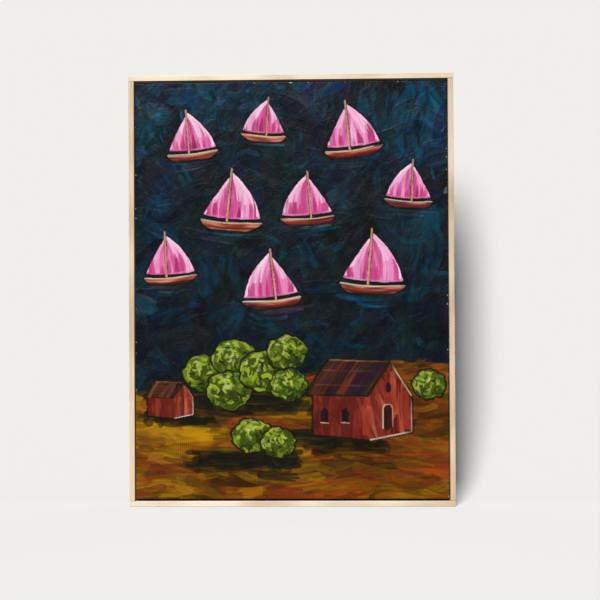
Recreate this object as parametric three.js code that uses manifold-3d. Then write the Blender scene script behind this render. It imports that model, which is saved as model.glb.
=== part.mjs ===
// A framed canvas painting: a stretched canvas in a thin floating frame of strip wood, with a naive coastal
// picture in raised paint. Millimetres, +Z up, +X to the viewer's right, and the picture looks along -Y.
// The origin is where the hanging nail bears: y = 0 is the wall, and z = 0 the root of the hanger's middle notch.
import * as THREE from "three";
import { mergeVertices } from "three/addons/utils/BufferGeometryUtils.js";
import Module from "manifold-3d";

const wasm = await Module();
wasm.setup();

// ---------------------------------------------------------------- driving dimensions
const CANVAS_WIDTH = 457.2; // 18 inches
const CANVAS_HEIGHT = 609.6; // 24 inches
const CANVAS_TOP = 34; // canvas top above the hanging point
const CLOTH = 0.75; // primed canvas
const FLAP = 22; // canvas folded onto the bars' backs
const BAR_WIDTH = 38;
const BAR_DEPTH = 36;
const BAR_LIP = 6; // width of the raised lip that holds the canvas off the bars
const BAR_RELIEF = 2.5; // how far the rest of a bar's front stands back
const JOINT_GAP = 0.3; // clearance in the bars' joints and round keys and nails

const GAP_SIDE = 1.6; // the dark gap between canvas and rails, left and right
const GAP_END = 3.4; // the same, top and bottom
const RAIL_FACE = 8; // rail thickness, seen from the front
const RAIL_DEPTH = 42;
const RAIL_CHAMFER = 0.5;
const RAIL_PROUD = 3; // rail front in front of the canvas
const SPACER_DEPTH = 22;
const SPACER_SET_BACK = 12; // spacer behind the canvas front

const BACK_CLEARANCE = 2.5; // the wall behind the rails' backs
const PAINT_GROUND = 0.5; // the ground coats
const PAINT_SHAPE = 0.75; // the shapes laid over them

const KEY_THICKNESS = 4;
const KEY_IN = 14; // length inside the wood
const KEY_OUT = 13; // length left standing out
const KEY_TIP = 5;
const KEY_HEAD = 10;
const KEY_FROM_BACK = { along: 22, up: 10 }; // depth of each key behind the bars' backs

const HANGER_LENGTH = 60;
const HANGER_HEIGHT = 10;
const HANGER_SHEET = 1;
const HANGER_FOOT = 10; // each flat end
const HANGER_RAMP = 3;
const HANGER_FRONT_TO_WALL = 0.5; // the raised middle stops this far from the wall
const NOTCHES = 9;
const NOTCH_PITCH = 3.4;
const NOTCH_DEPTH = 1.5;
const NAIL = { shank: 0.75, head: 2, headHeight: 0.75, length: 12 };

const BUMPER_RADIUS = 6;
const BUMPER_ROUND = 1.25;

// ---------------------------------------------------------------- places worked out from them
const RAIL_BACK_Y = -BACK_CLEARANCE;
const RAIL_FRONT_Y = RAIL_BACK_Y - RAIL_DEPTH;
const CANVAS_FRONT_Y = RAIL_FRONT_Y + RAIL_PROUD;
const BAR_FRONT_Y = CANVAS_FRONT_Y + CLOTH;
const BAR_BACK_Y = BAR_FRONT_Y + BAR_DEPTH;
const FLAP_BACK_Y = BAR_BACK_Y + CLOTH;
const CENTRE_Z = CANVAS_TOP - CANVAS_HEIGHT / 2;
const HALF_WIDTH = CANVAS_WIDTH / 2;
const HALF_HEIGHT = CANVAS_HEIGHT / 2;
const BAR_OUT_X = HALF_WIDTH - CLOTH;
const BAR_OUT_Z = HALF_HEIGHT - CLOTH;
const BAR_IN_X = BAR_OUT_X - BAR_WIDTH;
const BAR_IN_Z = BAR_OUT_Z - BAR_WIDTH;
const OPENING_X = HALF_WIDTH + GAP_SIDE;
const OPENING_Z = HALF_HEIGHT + GAP_END;

// ---------------------------------------------------------------- materials
const paint = (color) => new THREE.MeshStandardMaterial({ color, roughness: 0.45, metalness: 0 });
const MATERIALS = {
  rail: new THREE.MeshStandardMaterial({ color: 0xe8d2b2, roughness: 0.6, metalness: 0 }),
  spacer: new THREE.MeshStandardMaterial({ color: 0x1d1a18, roughness: 0.8, metalness: 0 }),
  bar: new THREE.MeshStandardMaterial({ color: 0xdcc295, roughness: 0.7, metalness: 0 }),
  key: new THREE.MeshStandardMaterial({ color: 0xcba977, roughness: 0.7, metalness: 0 }),
  canvas: new THREE.MeshStandardMaterial({ color: 0xe6dfcf, roughness: 0.9, metalness: 0 }),
  hanger: new THREE.MeshStandardMaterial({ color: 0xc2a15a, roughness: 0.35, metalness: 1 }),
  nail: new THREE.MeshStandardMaterial({ color: 0xb0b2b4, roughness: 0.35, metalness: 1 }),
  bumper: new THREE.MeshStandardMaterial({ color: 0x2b2b2d, roughness: 0.9, metalness: 0 }),
  sea: paint(0x1f3039),
  shore: paint(0xa0731f),
  sail: paint(0xd96aa6),
  hull: paint(0xc98372),
  bush: paint(0x8f9b3d),
  wall: paint(0x93412a),
  roof: paint(0x55281c),
};

// ---------------------------------------------------------------- shapes
const CURVE_STEPS = 10;

// An outline of [x, z] points, or a THREE.Shape, as a plate from y = back forward to y = back - thickness.
function plate(outline, thickness, back = 0) {
  const shape = Array.isArray(outline)
    ? new THREE.Shape(outline.map(([x, z]) => new THREE.Vector2(x, z)))
    : outline;
  const options = { depth: thickness, bevelEnabled: false, curveSegments: CURVE_STEPS };
  return new THREE.ExtrudeGeometry(shape, options).rotateX(Math.PI / 2).translate(0, back, 0);
}

function rectangle(x0, x1, z0, z1) {
  return [[x0, z0], [x1, z0], [x1, z1], [x0, z1]];
}

function box(x0, x1, y0, y1, z0, z1) {
  return plate(rectangle(x0, x1, z0, z1), y1 - y0, y1);
}

function solid(geometry) {
  const bare = geometry.clone();
  bare.deleteAttribute("normal");
  bare.deleteAttribute("uv");
  const merged = mergeVertices(bare, 1e-4);
  const vertProperties = merged.attributes.position.array;
  const triVerts = new Uint32Array(merged.index.array);
  return new wasm.Manifold(new wasm.Mesh({ numProp: 3, vertProperties, triVerts }));
}

function geometryOf(made) {
  const { vertProperties, triVerts } = made.getMesh();
  const shared = new THREE.BufferGeometry();
  shared.setAttribute("position", new THREE.BufferAttribute(vertProperties, 3));
  shared.setIndex(new THREE.BufferAttribute(triVerts, 1));
  const flat = shared.toNonIndexed();
  flat.computeVertexNormals();
  return flat;
}

// Joins the geometries in joined and cuts those in cuts out of them.
function carve(joined, cuts = []) {
  const [first, ...more] = joined.map(solid);
  const whole = more.reduce((made, piece) => made.add(piece), first);
  return geometryOf(cuts.map(solid).reduce((made, piece) => made.subtract(piece), whole));
}

function add(group, name, geometry, material) {
  const mesh = new THREE.Mesh(geometry, MATERIALS[material]);
  mesh.name = name;
  group.add(mesh);
  return mesh;
}

// ---------------------------------------------------------------- frame rails and spacers
// A rail of this length along X, with its thickness along Z; its front edges are broken by a small chamfer.
function railGeometry(length) {
  const c = RAIL_CHAMFER;
  const half = RAIL_FACE / 2;
  const section = new THREE.Shape([
    new THREE.Vector2(-half, 0),
    new THREE.Vector2(half, 0),
    new THREE.Vector2(half, RAIL_DEPTH - c),
    new THREE.Vector2(half - c, RAIL_DEPTH),
    new THREE.Vector2(c - half, RAIL_DEPTH),
    new THREE.Vector2(-half, RAIL_DEPTH - c),
  ]);
  const rail = new THREE.ExtrudeGeometry(section, { depth: length, bevelEnabled: false });
  // section x becomes Z, section y becomes -Y, and the extrusion runs along X
  const turn = new THREE.Matrix4().makeBasis(
    new THREE.Vector3(0, 0, 1),
    new THREE.Vector3(0, -1, 0),
    new THREE.Vector3(1, 0, 0),
  );
  return rail.applyMatrix4(turn).translate(-length / 2, 0, 0);
}

function buildFrame() {
  const group = new THREE.Group();
  group.position.set(0, 0, CENTRE_Z);
  for (const [side, sign] of [["top", 1], ["bottom", -1]]) {
    const rail = add(group, `frame_rail_${side}`, railGeometry(2 * (OPENING_X + RAIL_FACE)), "rail");
    rail.position.set(0, RAIL_BACK_Y, sign * (OPENING_Z + RAIL_FACE / 2));
  }
  for (const [side, sign] of [["left", -1], ["right", 1]]) {
    const upright = railGeometry(2 * OPENING_Z).rotateY(-Math.PI / 2);
    const rail = add(group, `frame_rail_${side}`, upright, "rail");
    rail.position.set(sign * (OPENING_X + RAIL_FACE / 2), RAIL_BACK_Y, 0);
  }
  const front = CANVAS_FRONT_Y + SPACER_SET_BACK;
  const back = front + SPACER_DEPTH;
  for (const [side, sign] of [["top", 1], ["bottom", -1]]) {
    const [low, high] = [sign * HALF_HEIGHT, sign * OPENING_Z].sort((a, b) => a - b);
    add(group, `spacer_${side}`, box(-OPENING_X, OPENING_X, front, back, low, high), "spacer");
  }
  for (const [side, sign] of [["left", -1], ["right", 1]]) {
    const [low, high] = [sign * HALF_WIDTH, sign * OPENING_X].sort((a, b) => a - b);
    add(group, `spacer_${side}`, box(low, high, front, back, -HALF_HEIGHT, HALF_HEIGHT), "spacer");
  }
  return group;
}

// ---------------------------------------------------------------- stretcher and canvas
// A key's outline at the corner (1, 1): along X into the upright bar, just under the cross bar.
function keyOutline(clearance) {
  const top = BAR_IN_Z - JOINT_GAP + clearance;
  return [
    [BAR_IN_X - KEY_OUT - clearance, top],
    [BAR_IN_X - KEY_OUT - clearance, top - KEY_HEAD - 2 * clearance],
    [BAR_IN_X + KEY_IN + clearance, top - KEY_TIP - 2 * clearance],
    [BAR_IN_X + KEY_IN + clearance, top],
  ];
}

// The same key standing up along Z, beside the upright bar and into the cross bar.
function keyOutlineUp(clearance) {
  const shift = BAR_IN_X - BAR_IN_Z;
  return keyOutline(clearance).map(([x, z]) => [z + shift, x - shift]);
}

function atCorner(outline, signX, signZ) {
  return outline.map(([x, z]) => [signX * x, signZ * z]);
}

const KEYS = [
  { run: "along", outline: keyOutline },
  { run: "up", outline: keyOutlineUp },
];

// A key, or with a clearance the slot cut for it.
function keyPlate(key, signX, signZ, clearance = 0) {
  const back = clearance - KEY_FROM_BACK[key.run];
  return plate(atCorner(key.outline(clearance), signX, signZ), KEY_THICKNESS + 2 * clearance, back);
}

// Each bar is three layers: front and back are mitred, and the middle one is a tongue on the cross bars
// that fills the whole corner, so the uprights' middle layer stops at it.
function crossBar(sign, holes) {
  const mitred = [[-BAR_OUT_X, BAR_OUT_Z], [BAR_OUT_X, BAR_OUT_Z], [BAR_IN_X, BAR_IN_Z], [-BAR_IN_X, BAR_IN_Z]];
  const tongue = rectangle(-BAR_OUT_X, BAR_OUT_X, BAR_IN_Z, BAR_OUT_Z);
  const slots = [-1, 1].map((side) => keyPlate(KEYS[1], side, sign, JOINT_GAP));
  return bar(atCorner(mitred, 1, sign), atCorner(tongue, 1, sign), [...slots, ...holes]);
}

function uprightBar(sign) {
  const high = BAR_OUT_Z - JOINT_GAP;
  const low = BAR_IN_Z - JOINT_GAP;
  const mitred = [[BAR_OUT_X, high], [BAR_OUT_X, -high], [BAR_IN_X, -low], [BAR_IN_X, low]];
  const middle = rectangle(BAR_IN_X, BAR_OUT_X, -low, low);
  const slots = [-1, 1].map((end) => keyPlate(KEYS[0], sign, end, JOINT_GAP));
  return bar(atCorner(mitred, sign, 1), atCorner(middle, sign, 1), slots);
}

function bar(mitred, middle, cuts) {
  const layer = BAR_DEPTH / 3;
  const relief = box(
    BAR_LIP - BAR_OUT_X, BAR_OUT_X - BAR_LIP,
    -BAR_DEPTH - 1, BAR_RELIEF - BAR_DEPTH,
    BAR_LIP - BAR_OUT_Z, BAR_OUT_Z - BAR_LIP,
  );
  const layers = [plate(mitred, layer), plate(middle, layer, -layer), plate(mitred, layer, -2 * layer)];
  return carve(layers, [relief, ...cuts]);
}

function nailHole(x, z) {
  const radius = NAIL.shank + JOINT_GAP;
  const depth = NAIL.length + JOINT_GAP;
  return new THREE.CylinderGeometry(radius, radius, 2 * depth, 12).translate(x, 0, z);
}

function buildStretcher() {
  const group = new THREE.Group();
  group.position.set(0, BAR_BACK_Y, CENTRE_Z);
  const holes = NAIL_PLACES.map(([x, z]) => nailHole(x, z - CENTRE_Z));
  add(group, "stretcher_bar_top", crossBar(1, holes), "bar");
  add(group, "stretcher_bar_bottom", crossBar(-1, []), "bar");
  add(group, "stretcher_bar_left", uprightBar(-1), "bar");
  add(group, "stretcher_bar_right", uprightBar(1), "bar");
  for (const [end, signZ] of [["top", 1], ["bottom", -1]]) {
    for (const [side, signX] of [["left", -1], ["right", 1]]) {
      for (const key of KEYS) {
        add(group, `key_${end}_${side}_${key.run}`, keyPlate(key, signX, signZ), "key");
      }
    }
  }
  return group;
}

// One sheet over the bars' front, round their sides and onto their backs.
function buildCanvas() {
  const group = new THREE.Group();
  group.position.set(0, BAR_BACK_Y, CENTRE_Z);
  const outside = box(-HALF_WIDTH, HALF_WIDTH, -BAR_DEPTH - CLOTH, CLOTH, -HALF_HEIGHT, HALF_HEIGHT);
  const inside = box(-BAR_OUT_X, BAR_OUT_X, -BAR_DEPTH, 0, -BAR_OUT_Z, BAR_OUT_Z);
  const [x, z] = [HALF_WIDTH - FLAP, HALF_HEIGHT - FLAP];
  const window = box(-x, x, -CLOTH, 2 * CLOTH, -z, z);
  add(group, "canvas", carve([outside], [inside, window]), "canvas");
  return group;
}

// ---------------------------------------------------------------- hanger and bumpers
const HANGER_BASE = HANGER_HEIGHT / 2 - NOTCH_DEPTH; // the strip's middle above the hanging point
const NAIL_X = HANGER_LENGTH / 2 - HANGER_FOOT / 2;
const NAIL_PLACES = [[-NAIL_X, HANGER_BASE], [NAIL_X, HANGER_BASE]];

// A stamped strip: flat feet on the bar, and a raised middle with a row of notches in its lower edge.
function hangerGeometry() {
  const [end, foot] = [HANGER_LENGTH / 2, HANGER_LENGTH / 2 - HANGER_FOOT];
  const middle = foot - HANGER_RAMP;
  const raised = -HANGER_FRONT_TO_WALL - HANGER_SHEET;
  const outer = [[end, BAR_BACK_Y], [foot, BAR_BACK_Y], [middle, raised]];
  const mirrored = outer.map(([x, y]) => [-x, y]).reverse();
  const under = [...outer, ...mirrored];
  const over = under.map(([x, y]) => [x, y + HANGER_SHEET]).reverse();
  const profile = new THREE.Shape([...under, ...over].map(([x, y]) => new THREE.Vector2(x, y)));
  const low = HANGER_BASE - HANGER_HEIGHT / 2;
  const strip = new THREE.ExtrudeGeometry(profile, { depth: HANGER_HEIGHT, bevelEnabled: false });
  strip.translate(0, 0, low);
  const cuts = NAIL_PLACES.map(([x, z]) => nailHole(x, z).translate(0, BAR_BACK_Y, 0));
  for (let i = 0; i < NOTCHES; i += 1) {
    const x = (i - (NOTCHES - 1) / 2) * NOTCH_PITCH;
    const half = NOTCH_PITCH / 2;
    const notch = [[x - half, low - 0.1], [x + half, low - 0.1], [x, low + NOTCH_DEPTH]];
    cuts.push(plate(notch, 10, 2));
  }
  return carve([strip], cuts);
}

function nailGeometry() {
  const head = BAR_BACK_Y + HANGER_SHEET;
  const profile = [
    [0, BAR_BACK_Y - NAIL.length],
    [NAIL.shank, BAR_BACK_Y - NAIL.length + 2 * NAIL.shank],
    [NAIL.shank, head],
    [NAIL.head, head],
    [NAIL.head, head + NAIL.headHeight / 2],
    [NAIL.head * 0.6, head + NAIL.headHeight],
    [0, head + NAIL.headHeight],
  ];
  return new THREE.LatheGeometry(profile.map(([r, y]) => new THREE.Vector2(r, y)), 12);
}

function bumperGeometry() {
  const round = BUMPER_RADIUS - BUMPER_ROUND;
  const profile = [
    [0, FLAP_BACK_Y],
    [BUMPER_RADIUS, FLAP_BACK_Y],
    [BUMPER_RADIUS, -BUMPER_ROUND],
    [round + BUMPER_ROUND * Math.SQRT1_2, BUMPER_ROUND * (Math.SQRT1_2 - 1)],
    [round, 0],
    [0, 0],
  ];
  return new THREE.LatheGeometry(profile.map(([r, y]) => new THREE.Vector2(r, y)), 24);
}

function buildHardware() {
  const group = new THREE.Group();
  add(group, "hanger", hangerGeometry(), "hanger");
  for (const [side, [x, z]] of [["left", NAIL_PLACES[0]], ["right", NAIL_PLACES[1]]]) {
    add(group, `hanger_nail_${side}`, nailGeometry(), "nail").position.set(x, 0, z);
  }
  const inset = FLAP / 2;
  for (const [side, sign] of [["left", -1], ["right", 1]]) {
    const bumper = add(group, `bumper_${side}`, bumperGeometry(), "bumper");
    bumper.position.set(sign * (HALF_WIDTH - inset), 0, CENTRE_Z - HALF_HEIGHT + inset);
  }
  return group;
}

// ---------------------------------------------------------------- the picture, in raised paint
// Places in the picture are x from its middle and h up from the canvas's lower edge.
const SHORE_STEPS = 24;
const shoreLine = (x) => 176 + 0.09 * x + 12 * Math.sin(x / 70);

// x, h of the waterline, height, tilt in degrees, and -1 where the boat sails to the left
const BOATS = [
  [-148, 500, 66, 5, 1],
  [-36, 526, 58, -4, -1],
  [88, 503, 74, 6, 1],
  [176, 428, 62, -3, -1],
  [-94, 398, 80, -5, 1],
  [30, 404, 70, 4, -1],
  [-182, 318, 68, 3, 1],
  [112, 304, 84, -4, 1],
  [-22, 284, 76, 6, -1],
];

// x, h and radius of each rounded bush; those of one clump overlap and are one body of paint
const CLUMPS = {
  bushes_middle: [[-128, 184, 32], [-84, 204, 34], [-92, 158, 34], [-42, 186, 36], [-6, 214, 30], [-4, 166, 28]],
  bushes_front: [[-58, 92, 30], [-20, 82, 26]],
  bushes_right: [[200, 166, 25]],
};

// lower left corner and scale of each cottage
const COTTAGES = [
  ["near", 28, 86, 1],
  ["far", -212, 118, 0.46],
];

const COTTAGE_WALLS = [[4, 8], [84, 0], [146, 12], [146, 64], [116, 110], [84, 62], [4, 64]];
const COTTAGE_ROOF = [[-6, 66], [81, 64.5], [113, 112.5], [26, 116]];

function sailOutline() {
  return new THREE.Shape()
    .moveTo(-0.44, 0.2)
    .quadraticCurveTo(-0.2, 0.14, 0, 0.17)
    .quadraticCurveTo(0.3, 0.13, 0.6, 0.2)
    .quadraticCurveTo(0.47, 0.66, 0.03, 1)
    .lineTo(-0.03, 0.92)
    .quadraticCurveTo(-0.32, 0.5, -0.44, 0.2);
}

function hullOutline() {
  return new THREE.Shape()
    .moveTo(-0.5, 0.1)
    .quadraticCurveTo(0, 0.06, 0.66, 0.12)
    .quadraticCurveTo(0.52, -0.03, 0.34, -0.06)
    .lineTo(-0.3, -0.06)
    .quadraticCurveTo(-0.44, -0.03, -0.5, 0.1);
}

function buildBoat([x, h, size, tilt, facing]) {
  const turn = new THREE.Matrix4()
    .makeTranslation(x, -PAINT_GROUND, h)
    .multiply(new THREE.Matrix4().makeRotationY(THREE.MathUtils.degToRad(-tilt)));
  return [sailOutline(), hullOutline()].map((outline) => {
    const points = outline.getPoints(CURVE_STEPS).map((p) => [facing * p.x * size, p.y * size]);
    return plate(points.slice(0, -1), PAINT_SHAPE).applyMatrix4(turn);
  });
}

function clumpGeometry(circles) {
  return carve(
    circles.map(([x, h, r]) => plate(new THREE.Shape().absarc(x, h, r, 0, 2 * Math.PI), PAINT_SHAPE, -PAINT_GROUND)),
  );
}

function buildPicture() {
  const group = new THREE.Group();
  group.position.set(0, CANVAS_FRONT_Y, CENTRE_Z - HALF_HEIGHT);
  const line = Array.from({ length: SHORE_STEPS + 1 }, (_, i) => {
    const x = HALF_WIDTH * ((2 * i) / SHORE_STEPS - 1);
    return [x, shoreLine(x)];
  });
  const sea = [...line, [HALF_WIDTH, CANVAS_HEIGHT], [-HALF_WIDTH, CANVAS_HEIGHT]];
  const shore = [...line.map(([x, h]) => [x, h - JOINT_GAP]), [HALF_WIDTH, 0], [-HALF_WIDTH, 0]];
  add(group, "paint_sea", plate(sea, PAINT_GROUND), "sea");
  add(group, "paint_shore", plate(shore, PAINT_GROUND), "shore");
  BOATS.forEach((boat, i) => {
    const [sails, hull] = buildBoat(boat);
    add(group, `paint_boat_${i + 1}_sails`, sails, "sail");
    add(group, `paint_boat_${i + 1}_hull`, hull, "hull");
  });
  for (const [name, circles] of Object.entries(CLUMPS)) {
    add(group, `paint_${name}`, clumpGeometry(circles), "bush");
  }
  for (const [name, x, h, scale] of COTTAGES) {
    const placed = (outline) => outline.map(([u, v]) => [x + scale * u, h + scale * v]);
    add(group, `paint_cottage_${name}_walls`, plate(placed(COTTAGE_WALLS), PAINT_SHAPE, -PAINT_GROUND), "wall");
    add(group, `paint_cottage_${name}_roof`, plate(placed(COTTAGE_ROOF), PAINT_SHAPE, -PAINT_GROUND), "roof");
  }
  return group;
}

const painting = new THREE.Group();
painting.name = "framed_canvas_painting";
painting.add(buildFrame(), buildStretcher(), buildCanvas(), buildHardware(), buildPicture());

export default painting;
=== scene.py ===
"""A painting on stretched canvas, a naive coastal scene, in a thin floating frame of strip wood.

The frame comes from the CAD part: metres, +Z up, +X to the viewer's right, and the wall at y = 0, with the
picture looking along -Y. It is painted here, stroke by stroke on a grid of cells, as colour and relief.
"""

import math

import bpy
import numpy as np
from mathutils import Euler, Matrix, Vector


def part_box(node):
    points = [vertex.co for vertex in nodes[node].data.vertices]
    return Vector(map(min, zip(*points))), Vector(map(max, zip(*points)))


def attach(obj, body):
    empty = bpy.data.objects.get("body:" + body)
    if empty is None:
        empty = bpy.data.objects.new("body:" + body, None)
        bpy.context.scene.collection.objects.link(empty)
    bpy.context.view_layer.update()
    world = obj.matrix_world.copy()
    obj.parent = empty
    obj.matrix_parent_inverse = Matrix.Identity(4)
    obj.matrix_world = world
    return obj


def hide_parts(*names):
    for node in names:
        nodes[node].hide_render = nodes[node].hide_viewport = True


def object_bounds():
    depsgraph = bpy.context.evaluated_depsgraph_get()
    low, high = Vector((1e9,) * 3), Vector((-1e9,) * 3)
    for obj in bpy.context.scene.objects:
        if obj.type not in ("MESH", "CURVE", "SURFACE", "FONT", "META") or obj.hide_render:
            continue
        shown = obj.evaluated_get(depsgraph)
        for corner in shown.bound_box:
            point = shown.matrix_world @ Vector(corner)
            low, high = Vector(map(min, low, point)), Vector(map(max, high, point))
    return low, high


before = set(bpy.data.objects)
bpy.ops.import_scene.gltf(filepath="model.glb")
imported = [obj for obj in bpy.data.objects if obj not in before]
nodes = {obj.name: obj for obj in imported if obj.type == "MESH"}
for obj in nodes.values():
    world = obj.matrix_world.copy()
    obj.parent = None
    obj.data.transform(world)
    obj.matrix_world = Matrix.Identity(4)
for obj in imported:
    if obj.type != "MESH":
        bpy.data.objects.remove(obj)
cad_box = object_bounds()

MM = 0.001
rng = np.random.default_rng(20)

# ---- places, from the frame
CANVAS_LOW, CANVAS_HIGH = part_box("canvas")
CANVAS_MIDDLE, CANVAS_HALF = (CANVAS_LOW + CANVAS_HIGH) / 2, (CANVAS_HIGH - CANVAS_LOW) / 2
FLOOR_Z = cad_box[0].z
WALL_Y = cad_box[1].y

# ---- camera
LENS_MM = 85
CAMERA_PLACE = Vector((0.0823, -2.1129, -0.3197))
CAMERA_TURN_DEG = (90.944, 0.293, 1.926)


def add_object(name, data):
    made = bpy.data.objects.new(name, data)
    bpy.context.scene.collection.objects.link(made)
    return made


camera_data = bpy.data.cameras.new("camera")
camera_data.lens = LENS_MM
camera = add_object("camera", camera_data)
camera.location = CAMERA_PLACE
camera.rotation_euler = Euler([math.radians(a) for a in CAMERA_TURN_DEG])
bpy.context.scene.camera = camera

# ---- materials
PAINT_LAYER = "paint"


def to_linear(rgb):
    """sRGB colours from 0 to 255 as linear ones."""
    share = np.clip(np.asarray(rgb) / 255, 0, 1)
    return np.where(share <= 0.04045, share / 12.92, ((share + 0.055) / 1.055) ** 2.4)


def linear(*rgb):
    """One such colour, with alpha."""
    return [*to_linear(rgb), 1.0]


def scaled(colour, share):
    return [share * c for c in colour[:3]] + [1.0]


class Shader:
    """A new material with its Principled shader, and short calls for the nodes that feed it."""

    def __init__(self, name, roughness=0.6, metallic=0.0, specular=0.5):
        self.material = bpy.data.materials.new(name)
        self.material.use_nodes = True
        self.tree = self.material.node_tree
        self.principled = self.tree.nodes["Principled BSDF"]
        surface = {"Roughness": roughness, "Metallic": metallic, "Specular IOR Level": specular}
        self.set(self.principled, surface)

    def set(self, node, inputs):
        """Give inputs of a node their values, or link them to other nodes' outputs."""
        for key, value in inputs.items():
            if isinstance(value, bpy.types.NodeSocket):
                self.tree.links.new(value, node.inputs[key])
            else:
                node.inputs[key].default_value = value
        return node

    def feed(self, socket, value):
        self.set(self.principled, {socket: value})

    def show(self, output):
        self.set(self.tree.nodes["Material Output"], {"Surface": output})

    def node(self, kind, inputs=None, **settings):
        made = self.tree.nodes.new(kind)
        for key, value in settings.items():
            setattr(made, key, value)
        return self.set(made, inputs or {})

    def math(self, operation, *values):
        return self.node("ShaderNodeMath", dict(enumerate(values)), operation=operation).outputs[0]

    def plus(self, a, b, times):
        """a + b * times"""
        return self.math("ADD", a, self.math("MULTIPLY", b, times))

    def place(self, scale=(1, 1, 1), offset=(0, 0, 0)):
        where = self.node("ShaderNodeTexCoord").outputs["Object"]
        inputs = {"Vector": where, "Location": offset, "Scale": scale}
        return self.node("ShaderNodeMapping", inputs).outputs[0]

    def along(self, axis, vector=None):
        """One coordinate of the place, or of another vector."""
        return self.node("ShaderNodeSeparateXYZ", {0: vector or self.place()}).outputs[axis]

    def noise(self, where, scale, detail=2.0, roughness=0.5, distortion=0.0):
        made = self.node("ShaderNodeTexNoise", {"Vector": where, "Scale": scale, "Detail": detail})
        return self.set(made, {"Roughness": roughness, "Distortion": distortion}).outputs["Fac"]

    def ramp(self, value, *stops):
        made = self.node("ShaderNodeValToRGB", {"Fac": value})
        elements = made.color_ramp.elements
        while len(elements) < len(stops):
            elements.new(0.5)
        for element, (at, colour) in zip(elements, stops):
            element.position = at
            element.color = colour
        return made.outputs["Color"]

    def span(self, value, low, high, to_low=0.0, to_high=1.0):
        inputs = {"Value": value, "From Min": low, "From Max": high, "To Min": to_low, "To Max": to_high}
        return self.node("ShaderNodeMapRange", inputs).outputs[0]

    def mix(self, blend, factor, a, b):
        made = self.node("ShaderNodeMix", {0: factor, 6: a, 7: b}, data_type="RGBA", blend_type=blend)
        return made.outputs[2]

    def bump(self, height, strength, distance):
        inputs = {"Height": height, "Strength": strength, "Distance": distance}
        self.feed("Normal", self.node("ShaderNodeBump", inputs).outputs[0])


def wood(name, pale, deep, axis, seed, lean=0.0, end=0.72):
    """Plain wood, its grain along one axis: soft bands, fine fibres, dark pores and darker end grain."""
    s = Shader(name, specular=0.35)
    stretched = [1.0, 1.0, 1.0]
    stretched[axis] = 0.05
    shift = (seed * 0.37, seed * 0.23, seed * 0.51)
    grain = s.place(scale=stretched, offset=shift)
    band = s.noise(s.place(offset=shift), 11, detail=1)
    streak = s.noise(grain, 150, distortion=0.4)
    fibre = s.noise(grain, 620, detail=3, roughness=0.7)
    tone = s.math("MULTIPLY", s.span(band, 0.3, 0.7), 0.55)
    # lean tilts the tone along the piece; on the frame rails it is partly the timber's own tone and partly
    # painted shade
    for part, times in ((streak, 0.45), (fibre, 0.22), (s.along(axis), lean)):
        tone = s.plus(tone, part, times)
    pores = s.span(s.noise(grain, 1500, detail=1), 0.62, 0.72, 0.0, 0.35)
    colour = s.mix("MULTIPLY", pores, s.ramp(tone, (0.28, deep), (0.85, pale)), (0.62, 0.5, 0.38, 1))
    facing = s.math("ABSOLUTE", s.along(axis, s.node("ShaderNodeNewGeometry").outputs["Normal"]))
    rings = s.span(s.noise(s.place(offset=shift), 420, distortion=1.5), 0.35, 0.65)
    ends = s.mix("MULTIPLY", rings, (end, end * 0.93, end * 0.82, 1), (end * 0.75, end * 0.66, end * 0.54, 1))
    s.feed("Base Color", s.mix("MULTIPLY", s.span(facing, 0.75, 0.9), colour, ends))
    s.feed("Roughness", s.span(fibre, 0.3, 0.7, 0.56, 0.72))
    s.bump(s.plus(s.math("MULTIPLY", fibre, 0.7), pores, -0.6), 0.35, 0.15 * MM)
    return s.material


def metal(name, colour, roughness):
    """Rolled sheet or wire: fine scuffs and a dulled, slightly spotted surface."""
    s = Shader(name, metallic=1.0)
    spots = s.noise(s.place(), 700, detail=3, roughness=0.65)
    s.feed("Base Color", s.ramp(spots, (0.35, scaled(colour, 0.62)), (0.62, colour)))
    s.feed("Roughness", s.span(spots, 0.3, 0.7, roughness + 0.2, roughness))
    s.bump(s.noise(s.place(scale=(0.1, 1, 1)), 2600), 0.2, 0.05 * MM)
    return s.material


def rubber():
    s = Shader("rubber", roughness=0.85, specular=0.3)
    dust = s.noise(s.place(), 900, detail=3)
    s.feed("Base Color", s.ramp(dust, (0.4, linear(30, 30, 32)), (0.75, linear(62, 60, 58))))
    s.bump(s.noise(s.place(), 3000), 0.25, 0.06 * MM)
    return s.material


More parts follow.
